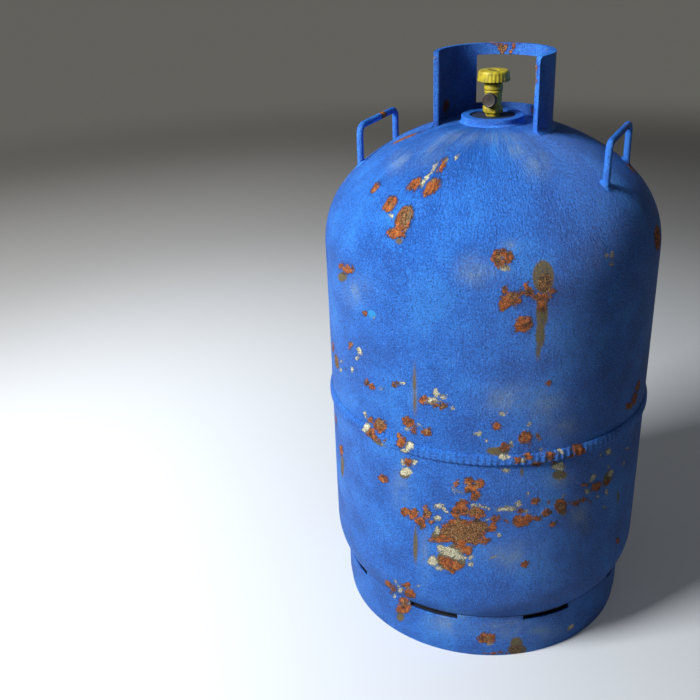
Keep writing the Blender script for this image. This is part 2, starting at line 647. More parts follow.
class Weathering:
    """Every worn place of the object, and the fields that they give at any point."""

    SPAN = 4.0 * MM
    NEAREST, FURTHEST = 0.45, 1.5
    HIDDEN_GROUPS = 46
    SEED = 41

    def __init__(self, outline: Outline, camera: PhotoCamera) -> None:
        """Works out the places seen in the photograph and makes up those on the hidden side."""
        self.outline = outline
        self.camera = camera
        self.warp = Ripple(7)
        self.spots: list[Spot] = []
        for group in (SHOULDER, UPPER_BODY, WELD_PLACES, MAIN_PATCH, FOOT_PLACES):
            for coat, marks in group.items():
                self.spots += [self.seen(coat, Mark(*mark)) for mark in marks]
        self.spots += [self.on_fitting(blot) for blot in FITTINGS]
        self.spots += self.hidden()

    def hit(self, x: float, y: float) -> Array:
        """First point of the vessel on the line of sight through a pixel.

        The line is walked in small steps until its distance from the axis is inside the outline.
        Past the outline's edge, the point that comes nearest to it is taken.
        """
        start = np.array(self.camera.place)
        line = self.camera.sight(x, y)
        steps = np.linspace(self.NEAREST, self.FURTHEST, 8000)[:, None]
        points = start + line * steps
        spare = np.hypot(points[:, 0], points[:, 1]) - self.outline.reach(points[:, 2])
        inside = np.flatnonzero(spare < 0.0)
        return points[inside[0]] if len(inside) else points[np.argmin(spare)]

    def normal(self, point: Array) -> Array:
        """Outward direction of the vessel's surface at a point, from the outline's slope."""
        gap = 0.5 * MM
        low, high = self.outline.reach(point[2] + np.array([-gap, gap]))
        slope = np.clip((high - low) / (2 * gap), -40.0, 40.0)
        side = point[:2] / np.linalg.norm(point[:2])
        direction = np.array([*side, -slope])
        return direction / np.linalg.norm(direction)

    def seen(self, coat: Coat, mark: Mark) -> Spot:
        """Lays a mark of the photograph on the surface.

        One pixel sideways and one pixel up are carried to the tangent plane along the line of
        sight, and the inverse of those two vectors turns an offset back into pixels. Where the
        surface is seen edge on, the stretch is limited.
        """
        centre = self.hit(mark.x, mark.y)
        normal = self.normal(centre)
        start = np.array(self.camera.place)
        right, up, _ = self.camera.axes()
        line = self.camera.sight(mark.x, mark.y)
        facing = min(-0.1, line @ normal)
        pixel = np.linalg.norm(centre - start) / self.camera.focal
        steps = [pixel * (axis - line * (axis @ normal) / facing) for axis in (right, up)]
        flat = [step - (step @ normal) * normal for step in steps]
        ends, sizes, turns = np.linalg.svd(np.array(flat).T, full_matrices=False)
        plane = np.linalg.pinv(ends * np.minimum(sizes, self.SPAN) @ turns)
        turn = math.radians(mark.turn)
        across = (math.cos(turn) * plane[0] + math.sin(turn) * plane[1]) / mark.wide
        along = (math.cos(turn) * plane[1] - math.sin(turn) * plane[0]) / mark.tall
        reach = 1.0 / max(np.linalg.norm(across), np.linalg.norm(along))
        return Spot(coat, centre, across, along, normal / (4 * self.SPAN), reach)

    def on_fitting(self, blot: Blot) -> Spot:
        """Turns a worn place on a fitting into a spot with its axes along X, Y and Z."""
        axes = np.diag(1.0 / (np.array(blot.half) * MM))
        return Spot(blot.coat, np.array(blot.middle) * MM, *axes, min(blot.half) * MM)

    def placed(self, coat: Coat, angle: float, height: float, wide: float, tall: float) -> Spot:
        """A worn place by its angle in radians and its height, with half widths in metres."""
        radius = float(self.outline.reach(np.array([height]))[0])
        centre = np.array([radius * math.cos(angle), radius * math.sin(angle), height])
        normal = self.normal(centre)
        east = np.array([-math.sin(angle), math.cos(angle), 0.0])
        up = np.cross(normal, east)
        return Spot(coat, centre, east / wide, up / tall, normal / (4 * self.SPAN), min(wide, tall))

    def hidden(self) -> list[Spot]:
        """Groups of worn places on the side that the photograph doesn't show, of the same kinds:
        a patch of a few overlapping spots, with chips beside it and at times a stain under it."""
        rng = np.random.default_rng(self.SEED)
        spots = []
        for _ in range(self.HIDDEN_GROUPS):
            angle = math.radians(rng.uniform(20.0, 196.0))
            height = rng.uniform(0.02, 0.47)
            size = rng.choice([2.5, 3.5, 5.0, 7.0, 11.0], p=[0.3, 0.26, 0.22, 0.14, 0.08]) * MM
            spread = size / self.outline.radius
            for _ in range(rng.integers(2, 6)):
                place = angle + rng.normal(0, 1.1) * spread, height + rng.normal(0, 0.8) * size
                spots.append(self.placed(Coat.RUST, *place, *(size * rng.uniform(0.5, 1.1, 2))))
            if size > 4 * MM:
                spots.append(self.placed(Coat.CORE, angle, height, 0.8 * size, 0.7 * size))
            for _ in range(rng.integers(0, 4)):
                place = angle + rng.normal(0, 3.0) * spread, height + rng.normal(0, 2.0) * size
                spots.append(self.placed(Coat.CREAM, *place, *(rng.uniform(1.2, 3.2, 2) * MM)))
            if rng.uniform() < 0.25:
                run = rng.uniform(8.0, 26.0) * MM
                spots.append(self.placed(Coat.STAIN, angle, height - run, 2.6 * MM, run))
            if rng.uniform() < 0.3:
                spots.append(self.placed(Coat.DUST, angle, height, *(rng.uniform(15, 40, 2) * MM)))
        return spots

    def fields(self, points: Array) -> dict[str, Array]:
        """Value of each coat's field at each point, from 0 to 1, with 0.5 on the rims.

        The points are first pushed about by smooth waves, so that no rim stays an ellipse.
        """
        shifts = [self.warp.at(points + 0.1 * k, 9 * MM) + 0.5 * self.warp.at(points + 0.3 * k, 4 * MM)
                  for k in (1, 2, 3)]
        pushed = points + 1.3 * MM * np.stack(shifts, axis=1)
        order = np.argsort(points[:, 2])
        levels = points[order, 2]
        depths = {coat: np.full(len(points), -1.0) for coat in Coat}
        for spot in self.spots:
            extent = spot.extent + 3 * MM
            first, last = np.searchsorted(levels, spot.centre[2] + np.array([-extent, extent]))
            near = order[first:last]
            near = near[np.abs(points[near] - spot.centre).max(axis=1) < extent]
            soft = spot.coat in (Coat.STAIN, Coat.DUST)
            depth = spot.depth((points if soft else pushed)[near])
            scale = spot.reach if spot.coat is Coat.DUST else FIELD_REACH
            depths[spot.coat][near] = np.maximum(depths[spot.coat][near], depth / scale)
        return {coat.value: np.clip(depth, -1, 1) * 0.5 + 0.5 for coat, depth in depths.items()}


# Node wiring


class Wiring:
    """Adds nodes to a tree and joins them."""

    def __init__(self, tree: bpy.types.NodeTree) -> None:
        """Keeps the tree."""
        self.tree = tree

    def add(self, kind: str, settings: dict | None = None, **feeds: object) -> bpy.types.Node:
        """Adds a shader node.

        Args:
            kind: the node's type without its common beginning.
            settings: properties of the node.
            feeds: a value or a socket for each input, with _ for each space in its name.
        Returns:
            The node.
        """
        node = self.tree.nodes.new("ShaderNode" + kind)
        for name, value in (settings or {}).items():
            setattr(node, name, value)
        for name, value in feeds.items():
            self.feed(node.inputs[name.replace("_", " ")], value)
        return node

    def feed(self, target: Socket, value: object) -> None:
        """Links a socket to an input, or sets the input's own value."""
        if isinstance(value, bpy.types.NodeSocket):
            self.tree.links.new(value, target)
        else:
            target.default_value = value

    def math(self, operation: str, *values: object) -> Socket:
        """Result of an arithmetic node."""
        node = self.add("Math", {"operation": operation})
        for target, value in zip(node.inputs, values):
            self.feed(target, value)
        return node.outputs[0]

    def mix(self, share: object, first: object, second: object) -> Socket:
        """Colour that goes from the first to the second as the share goes from 0 to 1."""
        node = self.add("Mix", {"data_type": "RGBA"})
        for place, value in ((0, share), (6, first), (7, second)):
            self.feed(node.inputs[place], value)
        return node.outputs[2]

    def step(self, value: object, low: object, high: object, start: float = 0.0,
             end: float = 1.0) -> Socket:
        """Smooth change from start to end while the value goes from low to high."""
        node = self.add("MapRange", {"interpolation_type": "SMOOTHSTEP"}, Value=value, From_Min=low,
                        From_Max=high, To_Min=start, To_Max=end)
        return node.outputs[0]

    def noise(self, place: Socket, scale: float, detail: float, roughness: float) -> Socket:
        """Value of a noise texture."""
        feeds = {"Vector": place, "Scale": scale, "Detail": detail, "Roughness": roughness}
        return self.add("TexNoise", None, **feeds).outputs[0]

    def ramp(self, value: object, stops: Iterable[tuple[float, tuple]]) -> Socket:
        """Colour of a ramp with the given stops."""
        node = self.add("ValToRGB", None, Fac=value)
        elements = node.color_ramp.elements
        stops = list(stops)
        while len(elements) < len(stops):
            elements.new(1.0)
        for element, (position, colour) in zip(elements, stops):
            element.position = position
            element.color = colour
        return node.outputs[0]

    def vector(self, operation: str, *values: object, **feeds: object) -> bpy.types.Node:
        """A vector node with its first inputs fed in order and the others by name."""
        node = self.add("VectorMath", {"operation": operation}, **feeds)
        for target, value in zip(node.inputs, values):
            self.feed(target, value)
        return node

    def stretched(self, place: Socket, factors: Sequence[float]) -> Socket:
        """The place with each of its parts multiplied."""
        return self.vector("MULTIPLY", place, factors).outputs[0]

    def attribute(self, name: str) -> Socket:
        """Value of a mesh attribute, 0 where the mesh has none."""
        return self.add("Attribute", {"attribute_type": "GEOMETRY", "attribute_name": name}).outputs["Fac"]

    def group(self, tree: bpy.types.NodeTree, **feeds: object) -> bpy.types.Node:
        """Adds a node group with its inputs fed by name."""
        node = self.add("Group", {"node_tree": tree})
        for name, value in feeds.items():
            self.feed(node.inputs[name.replace("_", " ")], value)
        return node


class EffectGroup:
    """A shader node group that several finishes share. It is built once."""

    name = ""
    inputs: dict[str, str] = {}
    outputs: dict[str, str] = {}

    @classmethod
    def tree(cls) -> bpy.types.NodeTree:
        """The group's tree, made the first time that it is asked for."""
        found = bpy.data.node_groups.get(cls.name)
        if found:
            return found
        tree = bpy.data.node_groups.new(cls.name, "ShaderNodeTree")
        for direction, sockets in (("INPUT", cls.inputs), ("OUTPUT", cls.outputs)):
            for name, kind in sockets.items():
                tree.interface.new_socket(name=name, in_out=direction, socket_type="NodeSocket" + kind)
        wiring = Wiring(tree)
        start = tree.nodes.new("NodeGroupInput")
        end = tree.nodes.new("NodeGroupOutput")
        for name, value in cls.wire(wiring, start.outputs).items():
            wiring.feed(end.inputs[name], value)
        return tree

    @classmethod
    def wire(cls, wiring: Wiring, given: bpy.types.NodeOutputs) -> dict[str, Socket]:
        """Builds the nodes and returns a socket for each output."""
        raise NotImplementedError


class WrappedPlace(EffectGroup):
    """Moves each place out to a cylinder round Z at its own height, so that a pattern runs
    down the sides and draws together over the dome, as rolled and brushed paint does."""

    name = "wrapped place"
    inputs = {"Place": "Vector", "Radius": "Float"}
    outputs = {"Place": "Vector"}

    @classmethod
    def wire(cls, wiring: Wiring, given: bpy.types.NodeOutputs) -> dict[str, Socket]:
        """Flattens the place, sets its length to the radius, and puts the height back."""
        flat = wiring.stretched(given["Place"], (1.0, 1.0, 0.0))
        level = wiring.vector("NORMALIZE", flat)
        out = wiring.vector("SCALE", level.outputs[0], Scale=given["Radius"])
        rise = wiring.stretched(given["Place"], (0.0, 0.0, 1.0))
        return {"Place": wiring.vector("ADD", out.outputs[0], rise).outputs[0]}


class RimMask(EffectGroup):
    """Breaks the smooth rim of a field with coarse and fine noise.

    Inside is how far the place lies within the rim, in millimetres.
    """

    name = "rim mask"
    inputs = {"Place": "Vector", "Field": "Float", "Coarse": "Float", "Fine": "Float"}
    outputs = {"Mask": "Float", "Inside": "Float"}

    @classmethod
    def wire(cls, wiring: Wiring, given: bpy.types.NodeOutputs) -> dict[str, Socket]:
        """Adds noise to the distance and takes a narrow step at zero."""
        span = 2 * FIELD_REACH / MM
        depth = wiring.math("MULTIPLY_ADD", given["Field"], span, -span / 2)
        coarse = wiring.math("SUBTRACT", wiring.noise(given["Place"], 240.0, 2.0, 0.6), 0.5)
        fine = wiring.math("SUBTRACT", wiring.noise(given["Place"], 760.0, 3.0, 0.7), 0.5)
        broken = wiring.math("MULTIPLY_ADD", coarse, given["Coarse"], depth)
        inside = wiring.math("MULTIPLY_ADD", fine, given["Fine"], broken)
        return {"Mask": wiring.step(inside, -0.22, 0.22), "Inside": inside}


class RustCrust(EffectGroup):
    """Colours and relief of rust that has burst through paint."""

    name = "rust crust"
    inputs = {"Place": "Vector", "Inside": "Float", "Core": "Float"}
    outputs = {"Color": "Color", "Height": "Float", "Roughness": "Float"}

    @classmethod
    def wire(cls, wiring: Wiring, given: bpy.types.NodeOutputs) -> dict[str, Socket]:
        """Mixes orange, brown and black by noise, grey and cream in the core, dark at the rim."""
        place = given["Place"]
        broad = wiring.noise(place, 170.0, 2.0, 0.5)
        grainy = wiring.noise(place, 520.0, 3.0, 0.7)
        gritty = wiring.noise(place, 1300.0, 2.0, 0.7)
        tone = wiring.math("MULTIPLY_ADD", broad, 0.5, wiring.math("MULTIPLY", grainy, 0.5))
        flame = wiring.ramp(tone, (
            (0.36, srgb(52, 30, 14)), (0.43, srgb(122, 66, 26)), (0.49, srgb(184, 90, 26)),
            (0.54, srgb(232, 108, 22)), (0.62, srgb(232, 152, 66)),
        ))
        worn = wiring.ramp(wiring.math("MULTIPLY_ADD", gritty, 0.5, wiring.math("MULTIPLY", grainy, 0.5)), (
            (0.40, srgb(38, 26, 12)), (0.46, srgb(104, 74, 34)), (0.50, srgb(146, 106, 54)),
            (0.54, srgb(188, 112, 42)), (0.60, srgb(216, 196, 146)),
        ))
        color = wiring.mix(wiring.math("MULTIPLY", given["Core"], 0.85), flame, worn)
        edge = wiring.step(given["Inside"], 0.2, 1.5, 1.0, 0.0)
        patchy = wiring.math("MULTIPLY", edge, wiring.step(grainy, 0.42, 0.56, 1.0, 0.15))
        dark = wiring.step(gritty, 0.40, 0.52, 1.0, 0.0)
        color = wiring.mix(wiring.math("MULTIPLY", patchy, 0.85), color, srgb(78, 36, 14))
        color = wiring.mix(wiring.math("MULTIPLY", dark, 0.75), color, srgb(44, 26, 14))
        rimmed = wiring.step(edge, 0.0, 0.6, 0.45, 0.9)
        pale = wiring.math("MULTIPLY", wiring.step(gritty, 0.55, 0.64), rimmed)
        color = wiring.mix(pale, color, srgb(216, 190, 140))
        lumps = wiring.math("MULTIPLY_ADD", grainy, 1.5, wiring.math("MULTIPLY", gritty, 0.9))
        return {"Color": color, "Height": lumps, "Roughness": wiring.step(grainy, 0.3, 0.7, 0.62, 0.9)}


class PaleChips(EffectGroup):
    """Colour of bare primer in chips, with a little dirt in it."""

    name = "pale chips"
    inputs = {"Place": "Vector", "Inside": "Float"}
    outputs = {"Color": "Color"}

    @classmethod
    def wire(cls, wiring: Wiring, given: bpy.types.NodeOutputs) -> dict[str, Socket]:
        """Goes from dirty grey-green at the rim to cream in the middle, speckled by noise."""
        speck = wiring.noise(given["Place"], 900.0, 3.0, 0.7)
        color = wiring.ramp(speck, (
            (0.38, srgb(88, 88, 62)), (0.47, srgb(152, 148, 112)), (0.55, srgb(204, 198, 172)),
            (0.64, srgb(232, 228, 212)),
        ))
        edge = wiring.step(given["Inside"], 0.0, 0.8, 0.4, 0.0)
        return {"Color": wiring.mix(edge, color, srgb(96, 112, 120))}


class RunDown(EffectGroup):
    """Share and colour of an olive stain that has run down the paint."""

    name = "run down"
    inputs = {"Place": "Vector", "Field": "Float"}
    outputs = {"Share": "Float", "Color": "Color"}

    @classmethod
    def wire(cls, wiring: Wiring, given: bpy.types.NodeOutputs) -> dict[str, Socket]:
        """Streaks the soft field with noise drawn out along Z."""
        streaks = wiring.noise(wiring.stretched(given["Place"], (1.0, 1.0, 0.22)), 420.0, 3.0, 0.6)
        speck = wiring.noise(given["Place"], 1300.0, 2.0, 0.7)
        field_value = wiring.math("MULTIPLY_ADD", wiring.math("SUBTRACT", streaks, 0.5), 0.22, given["Field"])
        grainy = wiring.step(speck, 0.36, 0.54, 0.74, 1.0)
        thin = wiring.math("MULTIPLY", wiring.step(field_value, 0.42, 0.66), grainy)
        share = wiring.math("MULTIPLY", thin, wiring.step(field_value, 0.46, 0.7, 0.8, 1.0))
        color = wiring.ramp(speck, (
            (0.38, srgb(60, 50, 14)), (0.47, srgb(100, 86, 26)), (0.56, srgb(140, 120, 54)),
        ))
        return {"Share": share, "Color": color}


class DustHaze(EffectGroup):
    """Share of pale dust that has stuck to the high points of the paint."""

    name = "dust haze"
    inputs = {"Place": "Vector", "Field": "Float"}
    outputs = {"Share": "Float"}

    @classmethod
    def wire(cls, wiring: Wiring, given: bpy.types.NodeOutputs) -> dict[str, Socket]:
        """Multiplies the soft field by specks of noise that thin out at its edge."""
        speck = wiring.noise(given["Place"], 780.0, 3.0, 0.75)
        patch = wiring.noise(given["Place"], 60.0, 2.0, 0.6)
        soft = wiring.step(given["Field"], 0.22, 1.0)
        amount = wiring.math("MULTIPLY", soft, wiring.step(patch, 0.3, 0.62, 0.25, 1.0))
        limit = wiring.math("MULTIPLY_ADD", amount, -0.2, 0.62)
        high = wiring.math("ADD", limit, 0.16)
        specks = wiring.math("MULTIPLY", wiring.step(speck, limit, high), amount)
        veil = wiring.math("MULTIPLY", amount, 0.3)
        return {"Share": wiring.math("MAXIMUM", wiring.math("MULTIPLY", specks, 0.75), veil)}


class PaintGrain(EffectGroup):
    """Relief and mottling of thick brushed paint over rough steel."""

    name = "paint grain"
    inputs = {"Place": "Vector", "Size": "Float"}
    outputs = {"Height": "Float", "Mottle": "Float", "Speck": "Float"}

    @classmethod
    def wire(cls, wiring: Wiring, given: bpy.types.NodeOutputs) -> dict[str, Socket]:
        """Adds an orange peel of pits, short brush marks and a fine grit."""
        place = wiring.vector("SCALE", given["Place"], Scale=given["Size"]).outputs[0]
        peel = wiring.noise(place, 480.0, 1.0, 0.5)
        grit = wiring.noise(place, 860.0, 3.0, 0.78)
        brushed = wiring.noise(wiring.stretched(place, (1.0, 1.0, 0.3)), 300.0, 2.0, 0.6)
        height = wiring.math("MULTIPLY_ADD", grit, 1.15, wiring.math("MULTIPLY", peel, 0.7))
        height = wiring.math("MULTIPLY_ADD", brushed, 0.35, height)
        return {
            "Height": height,
            "Mottle": wiring.noise(place, 22.0, 5.0, 0.6),
            "Speck": wiring.noise(place, 700.0, 3.0, 0.75),
        }


# Finishes


def new_material(name: str) -> tuple[bpy.types.Material, Wiring, bpy.types.Node]:
    """A material with a Principled shader joined to its output.

    Args:
        name: the material's name.
    Returns:
        The material, its wiring and the shader node.
    """
    material = bpy.data.materials.new(name)
    material.use_nodes = True
    nodes = material.node_tree.nodes
    nodes.clear()
    wiring = Wiring(material.node_tree)
    shader = wiring.add("BsdfPrincipled")
    output = wiring.add("OutputMaterial")
    wiring.feed(output.inputs["Surface"], shader.outputs[0])
    return material, wiring, shader


def set_shader(shader: bpy.types.Node, **values: object) -> None:
    """Sets plain values on the shader's own sockets, with _ for each space."""
    for name, value in values.items():
        shader.inputs[name.replace("_", " ")].default_value = value


@dataclass(frozen=True)
class Enamel:
    """Worn blue enamel over steel, with rust, chips, stains and dust where the mesh says so.

    RIMS says how far coarse and fine noise breaks each rim, in millimetres.
    """

    RIMS = ((Coat.RUST, 7.0, 6.5), (Coat.CORE, 7.0, 8.0), (Coat.CREAM, 4.0, 9.0))

    name: str
    wrap_radius: float = 0.0
    grain_size: float = 1.0
    relief: float = 2.0 * MM
    base: tuple = srgb(38, 114, 218)
    bright: tuple = srgb(56, 148, 248)
    deep: tuple = srgb(24, 76, 166)
    fresh: tuple = srgb(36, 160, 236)
    haze: tuple = srgb(146, 172, 190)
    grime: tuple = srgb(22, 15, 6)
    glint: tuple = srgb(214, 230, 244)
    roughness: float = 0.42

    def material(self) -> bpy.types.Material:
        """Builds the material from the shared effects."""
        material, wiring, shader = new_material(self.name)
        place = wiring.add("TexCoord").outputs["Object"]
        if self.wrap_radius:
            place = wiring.group(WrappedPlace.tree(), Place=place, Radius=self.wrap_radius).outputs[0]
        grain = wiring.group(PaintGrain.tree(), Place=place, Size=self.grain_size).outputs
        rust, core, cream = (
            wiring.group(RimMask.tree(), Place=place, Field=wiring.attribute(coat.value), Coarse=coarse,
                         Fine=fine).outputs
            for coat, coarse, fine in self.RIMS
        )
        crust = wiring.group(RustCrust.tree(), Place=place, Inside=rust["Inside"], Core=core["Mask"]).outputs
        chips = wiring.group(PaleChips.tree(), Place=place, Inside=cream["Inside"]).outputs
        run = wiring.group(RunDown.tree(), Place=place, Field=wiring.attribute(Coat.STAIN.value)).outputs
        dust = wiring.group(DustHaze.tree(), Place=place, Field=wiring.attribute(Coat.DUST.value)).outputs
        fresh = wiring.step(wiring.attribute(Coat.FRESH.value), 0.46, 0.56)
        grime = wiring.step(wiring.attribute(Coat.GRIME.value), 0.3, 0.7)

        paint = wiring.mix(wiring.step(grain["Mottle"], 0.38, 0.52, 0.6, 0.0), self.base, self.deep)
        paint = wiring.mix(wiring.step(grain["Mottle"], 0.50, 0.66, 0.0, 0.7), paint, self.bright)
        paint = wiring.mix(wiring.step(grain["Speck"], 0.5, 0.64, 0.0, 0.75), paint, self.bright)
        paint = wiring.mix(wiring.step(grain["Speck"], 0.36, 0.5, 1.0, 0.0), paint, self.deep)
        paint = wiring.mix(wiring.step(grain["Speck"], 0.70, 0.74), paint, self.glint)
        paint = wiring.mix(fresh, paint, self.fresh)
        paint = wiring.mix(dust["Share"], paint, self.haze)
        stained = wiring.mix(run["Share"], paint, run["Color"])
        bare = wiring.math("MAXIMUM", rust["Mask"], core["Mask"])
        color = wiring.mix(cream["Mask"], stained, chips["Color"])
        color = wiring.mix(bare, color, crust["Color"])
        over = wiring.math("MULTIPLY", cream["Mask"], wiring.step(grain["Speck"], 0.42, 0.6))
        color = wiring.mix(wiring.math("MULTIPLY", over, 0.75), color, chips["Color"])
        rim = self.rim_line(wiring, rust["Inside"])
        lifted = wiring.math("MULTIPLY", rim, wiring.step(grain["Speck"], 0.42, 0.58, 0.6, 0.0))
        color = wiring.mix(lifted, color, srgb(28, 20, 16))
        color = wiring.mix(wiring.math("MULTIPLY", grime, 0.93), color, self.grime)
        wiring.feed(shader.inputs["Base Color"], color)

        rough = wiring.math("MULTIPLY_ADD", run["Share"], 0.25, self.roughness)
        rough = wiring.math("MULTIPLY_ADD", dust["Share"], 0.3, rough)
        worn = wiring.math("MAXIMUM", bare, cream["Mask"])
        worn = wiring.math("MAXIMUM", worn, grime)
        gap = wiring.math("SUBTRACT", crust["Roughness"], rough)
        wiring.feed(shader.inputs["Roughness"], wiring.math("MULTIPLY_ADD", worn, gap, rough))

        smooth = wiring.math("MULTIPLY", grain["Height"], wiring.math("SUBTRACT", 1.0, worn))
        curled = wiring.math("MULTIPLY_ADD", rim, 0.35, smooth)
        raised = wiring.math("MULTIPLY_ADD", wiring.math("MULTIPLY", bare, crust["Height"]), 1.4, curled)
        sunk = wiring.math("MULTIPLY_ADD", cream["Mask"], -0.25, raised)
        bump = wiring.add("Bump", None, Strength=1.0, Distance=self.relief, Height=sunk)
        wiring.feed(shader.inputs["Normal"], bump.outputs[0])
        set_shader(shader, IOR=1.5, Specular_IOR_Level=0.5)
        return material

    def rim_line(self, wiring: Wiring, inside: Socket) -> Socket:
        """A narrow line just outside the rust, where the paint curls up and holds a shadow."""
        rise = wiring.step(inside, -1.1, -0.25)
        fall = wiring.step(inside, -0.25, 0.35, 1.0, 0.0)
        return wiring.math("MULTIPLY", rise, fall)


@dataclass(frozen=True)
class Coated:
    """A plain coated, moulded or turned surface with mottling, fine grit and dirt."""

    name: str
    light: tuple
    dark: tuple
    grit: float = 900.0
    relief: float = 0.12 * MM
    roughness: float = 0.45
    metallic: float = 0.0

    def material(self) -> bpy.types.Material:
        """Builds the material: two tones by coarse noise, dark pits by fine noise."""
        material, wiring, shader = new_material(self.name)
        place = wiring.add("TexCoord").outputs["Object"]
        coarse = wiring.noise(place, 160.0, 4.0, 0.62)
        fine = wiring.noise(place, self.grit, 3.0, 0.7)
        color = wiring.mix(wiring.step(coarse, 0.34, 0.64), self.dark, self.light)
        pits = wiring.step(fine, 0.28, 0.44, 0.55, 0.0)
        color = wiring.mix(pits, color, self.dark)
        wiring.feed(shader.inputs["Base Color"], color)
        wiring.feed(shader.inputs["Roughness"],
                    wiring.step(coarse, 0.3, 0.7, self.roughness + 0.12, self.roughness - 0.06))
        bump = wiring.add("Bump", None, Strength=0.8, Distance=self.relief, Height=fine)
        wiring.feed(shader.inputs["Normal"], bump.outputs[0])
        set_shader(shader, Metallic=self.metallic)
        return material


YELLOW_COAT = Coated("yellow coat", srgb(186, 170, 42), srgb(140, 126, 26), relief=0.08 * MM)
CAP_PLASTIC = Coated("cap plastic", srgb(66, 58, 50), srgb(38, 32, 27), roughness=0.55)
BRASS = Coated("turned brass", srgb(196, 158, 84), srgb(134, 98, 46), roughness=0.32, metallic=1.0)
GRIMY_WELD = Coated("grimy weld", srgb(20, 16, 12), srgb(8, 7, 6), roughness=0.9)
STEEL = Coated("dull steel", srgb(44, 32, 22), srgb(24, 16, 10), roughness=0.6, metallic=0.4)
RUBBER = Coated("black rubber", srgb(38, 36, 34), srgb(22, 20, 19), roughness=0.75)
NYLON = Coated("cream nylon", srgb(222, 214, 196), srgb(186, 176, 152), roughness=0.5)


# Pieces


class Bodies(Enum):
    """The bodies that new pieces ride on."""

    VESSEL = "vessel"
    WHEEL = "wheel"
    CAP = "cap"


@dataclass
class Workshop:
    """Turns surfaces into finished pieces."""

    weathering: Weathering

    def piece(self, name: str, surface: Surface, finish: bpy.types.Material, replaces: Sequence[str],
              body: Bodies = Bodies.VESSEL, slot: str = "blue_paint", crease: float = 38.0,
              worn: bool = True, grime: Array | None = None) -> bpy.types.Object:
        """Makes one mesh object.

        Args:
            name: the piece's name.
            surface: its closed surface.
            finish: its material.
            replaces: the nodes that it stands for.
            body: the body that it rides on.
            slot: the record's material slot.
            crease: angle in degrees past which an edge stays sharp.
            worn: whether the mesh carries the fields of the worn places.
            grime: how dirty each corner is, from 0 to 1, for crevices.
        Returns:
            The object.
        """
        mesh = bpy.data.meshes.new(name)
        mesh.from_pydata(surface.corners.tolist(), [], surface.quads.tolist() + surface.triangles.tolist())
        mesh.validate()
        mesh.shade_smooth()
        mesh.set_sharp_from_angle(angle=math.radians(crease))
        if worn:
            for attribute, values in self.weathering.fields(surface.corners).items():
                if values.max() > 0.0:
                    self.store(mesh, attribute, values)
        if grime is not None:
            self.store(mesh, Coat.GRIME.value, grime)
        mesh.materials.append(finish)
        item = bpy.data.objects.new(name, mesh)
        bpy.context.scene.collection.objects.link(item)
        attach(item, body.value)
        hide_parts(*replaces)
        log.info("%s: %d corners, for %s", name, len(mesh.vertices), ", ".join(replaces))
        return item

    def store(self, mesh: bpy.types.Mesh, name: str, values: Array) -> None:
        """Writes one value for each corner into a mesh attribute."""
        attribute = mesh.attributes.new(name, "FLOAT", "POINT")
        attribute.data.foreach_set("value", values.astype(np.float32))


def bevelled(item: bpy.types.Object, width: float, segments: int = 3, angle: float = 50.0) -> None:
    """Rounds the sharp edges of a piece with a live bevel."""
    bevel = item.modifiers.new("rounded edges", "BEVEL")
    bevel.width = width
    bevel.segments = segments
    bevel.limit_method = "ANGLE"
    bevel.angle_limit = math.radians(angle)


def dress(nodes: Iterable[str], finish: bpy.types.Material) -> None:
    """Gives the frame's own nodes a finish."""
    for name in nodes:
        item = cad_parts[name]
        item.data.materials.clear()
        item.data.materials.append(finish)
        log.info("%s: dressed with %s", name, finish.name)


